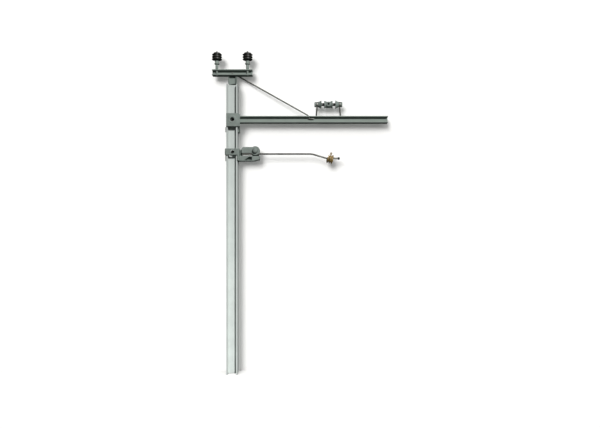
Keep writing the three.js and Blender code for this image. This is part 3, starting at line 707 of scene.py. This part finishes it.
class MAST_OT_pin_insulators(bpy.types.Operator):
    """Build the two pins, their cups and their ribbed insulators"""

    bl_idname = "mast.pin_insulators"
    bl_label = "Pin Insulators"

    def execute(self, context):
        sizes = context.scene.mast_sizes
        seat = span("crosshead_beam")[1].z + FIT
        for side in SIDES:
            low, high = span(f"{side}_pin")
            axis = ((low.x + high.x) / 2, (low.y + high.y) / 2, 0)
            stem = (high.x - low.x) / 2
            cup_low, cup_high = span(f"{side}_pin_cup")
            stem_top = cup_low.z - FIT
            core = sizes.pin_radius
            pin = [
                (0, low.z),
                (core * 0.6, low.z),
                (core, low.z + 0.12),
                (core, seat),
                (stem, seat),
                (stem, stem_top - 0.3),
                (stem * 0.85, stem_top),
                (core, stem_top),
                (core, high.z),
                (0, high.z),
            ]
            finished(rounded(turned(pin, axis), 0.03), f"{side}_pin")
            rim = (cup_high.x - cup_low.x) / 2
            cup = [
                (0, high.z + FIT),
                (core + FIT, high.z + FIT),
                (core + FIT, cup_low.z),
                (rim - 0.1, cup_low.z),
                (rim, cup_low.z + 0.08),
                (rim, cup_low.z + 0.32),
                (rim - 0.12, cup_low.z + 0.38),
                (rim - 0.16, cup_high.z),
                (0, cup_high.z),
            ]
            finished(rounded(turned(cup, axis), 0.025), f"{side}_pin_cup")
            insulator = turned(self.insulator(side, cup_high.z), axis, steps=64)
            finished(rounded(insulator, sizes.edge), f"{side}_pin_insulator")
        return {"FINISHED"}

    @staticmethod
    def insulator(side, cup_top, ribs=3, recess=0.72, pitch=0.73):
        """The outline of a ribbed insulator with a hollow for the cup and a grooved knob."""
        low, high = span(f"{side}_pin_insulator")
        radius = (high.x - low.x) / 2
        core = radius * 0.78
        knob = 0.33
        outline = [
            (0, cup_top + FIT),
            (recess, cup_top + FIT),
            (recess, low.z),
            (recess + 0.2, low.z),
            (recess + 0.34, low.z + 0.2),
            (radius - 0.14, low.z),
        ]
        for rib in range(ribs):
            foot = low.z + rib * pitch
            outline += [
                (radius, foot + 0.1),
                (radius, foot + 0.26),
                (core, foot + 0.4),
                (core, foot + 0.65),
            ]
        shoulder = low.z + ribs * pitch
        outline += [
            (knob + 0.25, shoulder + 0.06),
            (knob * 0.7, shoulder + 0.14),
            (knob * 0.7, shoulder + 0.2),
            (knob, shoulder + 0.3),
            (knob, high.z - 0.12),
            (knob * 0.6, high.z),
            (0, high.z),
        ]
        return outline


class MAST_OT_stay_wire(bpy.types.Operator):
    """Build the stay wire from the crosshead to the arm"""

    bl_idname = "mast.stay_wire"
    bl_label = "Stay Wire"

    def execute(self, context):
        sizes = context.scene.mast_sizes
        end = span("stay_wire")[1].x
        foot = span("crosshead_beam")[0].z
        roof = span("arm_beam")[1].z
        route = [(0, y, foot + rise) for y, rise in STAY_ON_CROSSHEAD]
        route += [(end - STAY_TAIL + x, STAY_IN_ARM_Y, roof + rise) for x, rise in STAY_ON_ARM]
        route.append((end, STAY_IN_ARM_Y, route[-1][2]))
        wire = drawn_wire(route, sizes.stay_radius, STAY_BEND)
        finished(rounded(wire, 0.04, 2, sharp=60), "stay_wire")
        return {"FINISHED"}


class MAST_OT_arm(bpy.types.Operator):
    """Build the arm"""

    bl_idname = "mast.arm"
    bl_label = "Arm"

    def execute(self, context):
        sizes = context.scene.mast_sizes
        roof = span("arm_beam")[1].z
        bend = span("stay_wire")[1].x - STAY_TAIL
        above = roof + 1
        slot = block(
            (bend + STAY_SLOT[0], STAY_IN_ARM_Y - STAY_SLOT_HALF_WIDTH, roof - sizes.beam_wall - FIT),
            (bend + STAY_SLOT[1], STAY_IN_ARM_Y + STAY_SLOT_HALF_WIDTH, above),
        )
        tools = [slot]
        for side in SIDES.values():
            at = SUPPORT.x + side * LEG_REACH
            run = (at, 0, roof - sizes.beam_wall), (at, 0, above)
            tools.append(rod(sizes.leg_radius + LEG_PLAY, *run))
        finished(rounded(cut(beam("arm_beam", sizes), *tools), sizes.edge), "arm_beam")
        return {"FINISHED"}


class MAST_OT_messenger_support(bpy.types.Operator):
    """Build the support that holds the messenger wire above the arm"""

    bl_idname = "mast.messenger_support"
    bl_label = "Messenger Support"

    def execute(self, context):
        sizes = context.scene.mast_sizes
        finished(rounded(from_frame("messenger_clamp"), sizes.cast_edge * 0.6, 2), "messenger_clamp")
        for name, side in SIDES.items():
            self.half(name, side, sizes)
        return {"FINISHED"}

    @staticmethod
    def half(name, side, sizes, bore=0.3):
        """One half, measured outwards from the middle of the axle."""
        outwards = X * side

        def reach(node):
            low, high = span(f"{name}_{node}")
            ends = sorted(abs(corner.x - SUPPORT.x) for corner in (low, high))
            return *ends, (high.z - low.z) / 2

        def lay(node, profile, rounding, closed=False):
            solid = turned(profile, SUPPORT, outwards, closed=closed)
            finished(rounded(solid, rounding), f"{name}_{node}")

        start, end, radius = reach("bell")
        bell = [
            (bore, start + 0.1),
            (0.62, start + 0.1),
            (radius - 0.34, start),
            (radius - 0.1, start),
            (radius, start + 0.1),
            (radius, start + 0.24),
            (radius - 0.24, start + 0.42),
            (radius - 0.44, end),
            (bore, end),
        ]
        lay("bell", bell, 0.035, closed=True)
        start, end, radius = reach("end_cap")
        cap = [
            (0, end - 0.15),
            (bore, end - 0.15),
            (bore, start),
            (radius, start),
            (radius, end - 0.1),
            (radius - 0.12, end),
            (0, end),
        ]
        lay("end_cap", cap, 0.035)
        start, end, radius = reach("spacer")
        waist = radius - 0.08
        middle = (start + end) / 2
        spacer = [
            (bore, start),
            (radius, start),
            (radius, start + 0.14),
            (waist, middle - 0.1),
            (waist, middle + 0.1),
            (radius, end - 0.14),
            (radius, end),
            (bore, end),
        ]
        lay("spacer", spacer, 0.02, closed=True)
        start, end, radius = reach("axle")
        lay("axle", [(0, start), (radius, start), (radius, end), (0, end)], 0.03)

        eye = SUPPORT + outwards * EYE_REACH
        eye_radius = reach("end_cap")[2]
        foot = Vector((SUPPORT.x + side * LEG_REACH, 0, span(f"{name}_leg")[0].z))
        section = [
            (bore, -EYE_HALF_WIDTH),
            (eye_radius, -EYE_HALF_WIDTH),
            (eye_radius, EYE_HALF_WIDTH),
            (bore, EYE_HALF_WIDTH),
        ]
        ring = turned(section, eye, X, closed=True)
        leg = rod(sizes.leg_radius, foot, eye - Z * (eye_radius - 0.2), 24)
        finished(rounded(joined(ring, leg), 0.03, 2, sharp=50), f"{name}_leg")


def grub_screw(node, socket_radius=0.28, socket_depth=0.5):
    """A headless screw with a hexagon socket and a chamfered tip."""
    low, high = span(node)
    radius = (high.x - low.x) / 2
    centre = (low + high) / 2
    run = high.y - low.y
    outline = [
        (0, 0),
        (radius - 0.08, 0),
        (radius, 0.08),
        (radius, run - 0.2),
        (radius - 0.2, run),
        (0, run),
    ]
    face = Vector((centre.x, low.y, centre.z))
    screw = turned(outline, face, Y)
    socket = rod(socket_radius, face - Y, face + Y * socket_depth, 6)
    finished(rounded(cut(screw, socket), 0.02, 2), node)


class MAST_OT_upper_clamp(bpy.types.Operator):
    """Build the clamp that carries the arm, and its screw"""

    bl_idname = "mast.upper_clamp"
    bl_label = "Upper Clamp"

    def execute(self, context):
        sizes = context.scene.mast_sizes
        finished(rounded(from_frame("upper_clamp"), sizes.cast_edge), "upper_clamp")
        grub_screw("upper_clamp_screw")
        return {"FINISHED"}


class MAST_OT_lower_clamp(bpy.types.Operator):
    """Build the sliding clamp with its bracket, its screw and the pivot screw"""

    bl_idname = "mast.lower_clamp"
    bl_label = "Lower Clamp"

    def execute(self, context):
        sizes = context.scene.mast_sizes
        finished(rounded(from_frame("lower_clamp"), sizes.cast_edge), "lower_clamp")
        grub_screw("lower_clamp_screw")
        low, high = span("pivot_screw")
        head = (high.x - low.x) / 2
        axis = ((low.x + high.x) / 2, low.y, (low.z + high.z) / 2)
        rim = 0.5
        rise = 0.4
        steps = 8
        dome = [
            (head * math.sin(turn), rise - rise * math.cos(turn))
            for turn in (math.pi / 2 * step / steps for step in range(steps + 1))
        ]
        shank = 0.38
        run = high.y - low.y
        outline = dome + [(head, rise + rim), (shank, rise + rim), (shank, run), (0, run)]
        finished(rounded(turned(outline, axis, Y), 0.02, 2, sharp=40), "pivot_screw")
        return {"FINISHED"}


class MAST_OT_registration_arm(bpy.types.Operator):
    """Build the lever, the bent wire, its ferrule and the brown insulator"""

    bl_idname = "mast.registration_arm"
    bl_label = "Registration Arm"

    def execute(self, context):
        sizes = context.scene.mast_sizes
        finished(rounded(from_frame("registration_lever"), sizes.cast_edge * 0.8), "registration_lever")
        low, high = span("registration_wire")
        radius = sizes.registration_radius
        y = (low.y + high.y) / 2
        upper = high.z - radius
        lower = low.z + radius
        pivot = sum(span("pivot_screw"), Vector()) / 2
        route = [
            (low.x, y, upper),
            (pivot.x + REGISTRATION_CORNERS[0], y, upper),
            (pivot.x + REGISTRATION_CORNERS[1], y, lower),
            (high.x, y, lower),
        ]
        wire = drawn_wire(route, radius, REGISTRATION_BEND)
        finished(rounded(wire, 0.05, 3, sharp=60), "registration_wire")

        ferrule_low, ferrule_high = span("registration_ferrule")
        outer = (ferrule_high.z - ferrule_low.z) / 2
        ferrule_length = ferrule_high.x - ferrule_low.x
        bore = radius + 0.04
        ring = [(bore, 0), (outer, 0), (outer, ferrule_length), (bore, ferrule_length)]
        ferrule = turned(ring, (ferrule_low.x, y, lower), X, closed=True)
        finished(rounded(ferrule, 0.04), "registration_ferrule")
        middle = Vector((pivot.x + BEAD_REACH, y, pivot.z - BEAD_DROP))
        finished(self.bead(middle, route, bore), "registration_insulator")
        return {"FINISHED"}

    @staticmethod
    def bead(centre, route, bore, tilt=12, ribs=3, pitch=0.7, radius=1.42, core=0.95):
        """A ribbed insulator, a little tilted, with a stub on its middle rib and a bore for the wire."""
        half = ribs * pitch / 2
        outline = [(0, -half), (core - 0.15, -half)]
        for rib in range(ribs):
            middle = (rib + 0.5) * pitch - half
            outline += [
                (core, middle - 0.27),
                (radius, middle - 0.14),
                (radius, middle + 0.14),
                (core, middle + 0.27),
            ]
        outline += [(core - 0.15, half), (0, half)]
        lean = Matrix.Rotation(math.radians(tilt), 3, "Y")
        body = rounded(turned(outline, centre, lean @ X, 64), 0.06)
        stub = [
            (0, core - 0.1),
            (0.27, core - 0.1),
            (0.25, 1.88),
            (0.36, 1.92),
            (0.36, 2.1),
            (0, 2.1),
        ]
        stub = rounded(turned(stub, centre, lean @ Z, 32), 0.03, 2)
        return cut(joined(body, stub), drawn_wire(route, bore, REGISTRATION_BEND))


# ---------------------------------------------------------------- studio


class MAST_OT_studio(bpy.types.Operator):
    """Build the floor, the backdrop, the lights and the camera"""

    bl_idname = "mast.studio"
    bl_label = "Studio"

    def execute(self, context):
        scene = context.scene
        paper = [
            self.sheet("floor", (0, 0, -FLOOR_DROP * MM), Z),
            self.sheet("backdrop", (0, BACKDROP_Y * MM, 0), -Y),
        ]
        for sheet in paper:
            sheet.visible_diffuse = False
            sheet.visible_glossy = False
        lit_paper = self.collect("lit_paper", paper)
        lit_floor = self.collect("lit_floor", paper[:1])
        mast = [piece for piece in scene.objects if "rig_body" in piece and not piece.hide_render]
        lit_mast = self.collect("lit_mast", mast)
        self.sun("key", (0.42, -1.0, 0.5), 3.15, 8, lit_mast)
        self.sun("fill", (-0.9, -1.0, 0.6), 0.08, 60, lit_mast)
        back = self.sun("back_light", (-0.5, 1.0, 0.45), 2.4, 12, lit_mast)
        back.light_linking.blocker_collection = lit_mast
        self.sun("paper_light", (-0.36, -1.0, 0.42), 2.6, 27, lit_paper)
        self.sun("paper_fill", (0.0, -1.0, 0.8), 1.9, 90, lit_paper, shadows=False)
        self.sun("floor_light", (0.0, -0.4, 1.0), 1.7, 90, lit_floor, shadows=False)
        self.sky(scene, 0.04)
        self.camera(scene)
        scene.view_settings.view_transform = "Standard"
        return {"FINISHED"}

    @staticmethod
    def sheet(name, at, normal, size=3.0):
        """A white sheet that can be seen only from its front."""
        bm = bmesh.new()
        bmesh.ops.create_grid(bm, x_segments=1, y_segments=1, size=size / 2, matrix=aimed(at, normal))
        mesh = bpy.data.meshes.new(name)
        bm.to_mesh(mesh)
        bm.free()
        finish = Finish(name)
        grain = finish.noise(0.05, detail=4)
        finish.set(
            Base_Color=finish.blend(grain, (0.87, 0.868, 0.85), (0.885, 0.88, 0.865)),
            Roughness=0.8 + grain * 0.1,
        )
        clear = finish.node("ShaderNodeBsdfTransparent")
        back = finish.node("ShaderNodeNewGeometry", output="Backfacing")
        seen = Signal(finish, finish.shader.outputs[0])
        surface = finish.node("ShaderNodeMixShader", {}, {0: back, 1: seen, 2: clear})
        finish.feed(finish.tree.nodes["Material Output"].inputs["Surface"], surface)
        mesh.materials.append(finish.material)
        made = bpy.data.objects.new(name, mesh)
        bpy.context.scene.collection.objects.link(made)
        return made

    @staticmethod
    def collect(name, members):
        """A collection that a light can be limited to."""
        made = bpy.data.collections.new(name)
        for member in members:
            made.objects.link(member)
        return made

    @staticmethod
    def sun(name, source, strength, softness, receivers, shadows=True):
        """A lamp far away towards a direction, as wide as softness in degrees."""
        lamp = bpy.data.lights.new(name, "SUN")
        lamp.energy = strength
        lamp.use_shadow = shadows
        lamp.angle = math.radians(softness)
        made = bpy.data.objects.new(name, lamp)
        made.rotation_mode = "QUATERNION"
        made.rotation_quaternion = Vector(source).to_track_quat("Z", "Y")
        bpy.context.scene.collection.objects.link(made)
        made.light_linking.receiver_collection = receivers
        return made

    @staticmethod
    def sky(scene, strength):
        """A white surround that lights softly and looks bright."""
        scene.world = bpy.data.worlds.new("surround")
        scene.world.use_nodes = True
        tree = scene.world.node_tree
        light = tree.nodes["Background"]
        light.inputs["Color"].default_value = (0.97, 0.99, 1.0, 1)
        light.inputs["Strength"].default_value = strength
        seen = tree.nodes.new("ShaderNodeBackground")
        seen.inputs["Color"].default_value = (0.93, 0.935, 0.94, 1)
        path = tree.nodes.new("ShaderNodeLightPath")
        choice = tree.nodes.new("ShaderNodeMixShader")
        tree.links.new(path.outputs["Is Camera Ray"], choice.inputs[0])
        tree.links.new(light.outputs[0], choice.inputs[1])
        tree.links.new(seen.outputs[0], choice.inputs[2])
        tree.links.new(choice.outputs[0], tree.nodes["World Output"].inputs["Surface"])

    @staticmethod
    def camera(scene, across=192.0, distance=165.0, aside=21.6, below_top=51.8):
        """A camera in front of the mast, which sees so many millimetres across in the post's plane."""
        lens = bpy.data.cameras.new("camera")
        lens.sensor_width = 36.0
        lens.lens = lens.sensor_width * distance / across
        lens.clip_start = 0.01
        made = bpy.data.objects.new("camera", lens)
        made.location = (aside * MM, -distance * MM, CAD_BOX[1].z - below_top * MM)
        made.rotation_euler = (math.pi / 2, 0, 0)
        scene.collection.objects.link(made)
        scene.camera = made


# ---------------------------------------------------------------- panel and registration

PIECE_OPERATORS = (
    MAST_OT_post,
    MAST_OT_crosshead,
    MAST_OT_pin_insulators,
    MAST_OT_stay_wire,
    MAST_OT_arm,
    MAST_OT_messenger_support,
    MAST_OT_upper_clamp,
    MAST_OT_lower_clamp,
    MAST_OT_registration_arm,
    MAST_OT_studio,
)


class MAST_PT_panel(bpy.types.Panel):
    """Lists the mast's pieces in the sidebar"""

    bl_label = "Overhead Line Mast"
    bl_space_type = "VIEW_3D"
    bl_region_type = "UI"
    bl_category = "Mast"

    def draw(self, context):
        for group in (context.scene.mast_sizes, context.scene.mast_colours):
            for name in group.__annotations__:
                self.layout.prop(group, name)
        for operator in PIECE_OPERATORS:
            self.layout.operator(operator.bl_idname)


CLASSES = (MastSizes, MastColours, *PIECE_OPERATORS, MAST_PT_panel)


def register():
    for item in CLASSES:
        bpy.utils.register_class(item)
    bpy.types.Scene.mast_sizes = bpy.props.PointerProperty(type=MastSizes)
    bpy.types.Scene.mast_colours = bpy.props.PointerProperty(type=MastColours)


def unregister():
    del bpy.types.Scene.mast_colours
    del bpy.types.Scene.mast_sizes
    for item in reversed(CLASSES):
        bpy.utils.unregister_class(item)


def main():
    register()
    for operator in PIECE_OPERATORS:
        getattr(bpy.ops.mast, operator.bl_idname.split(".")[1])()


if __name__ == "__main__":
    main()
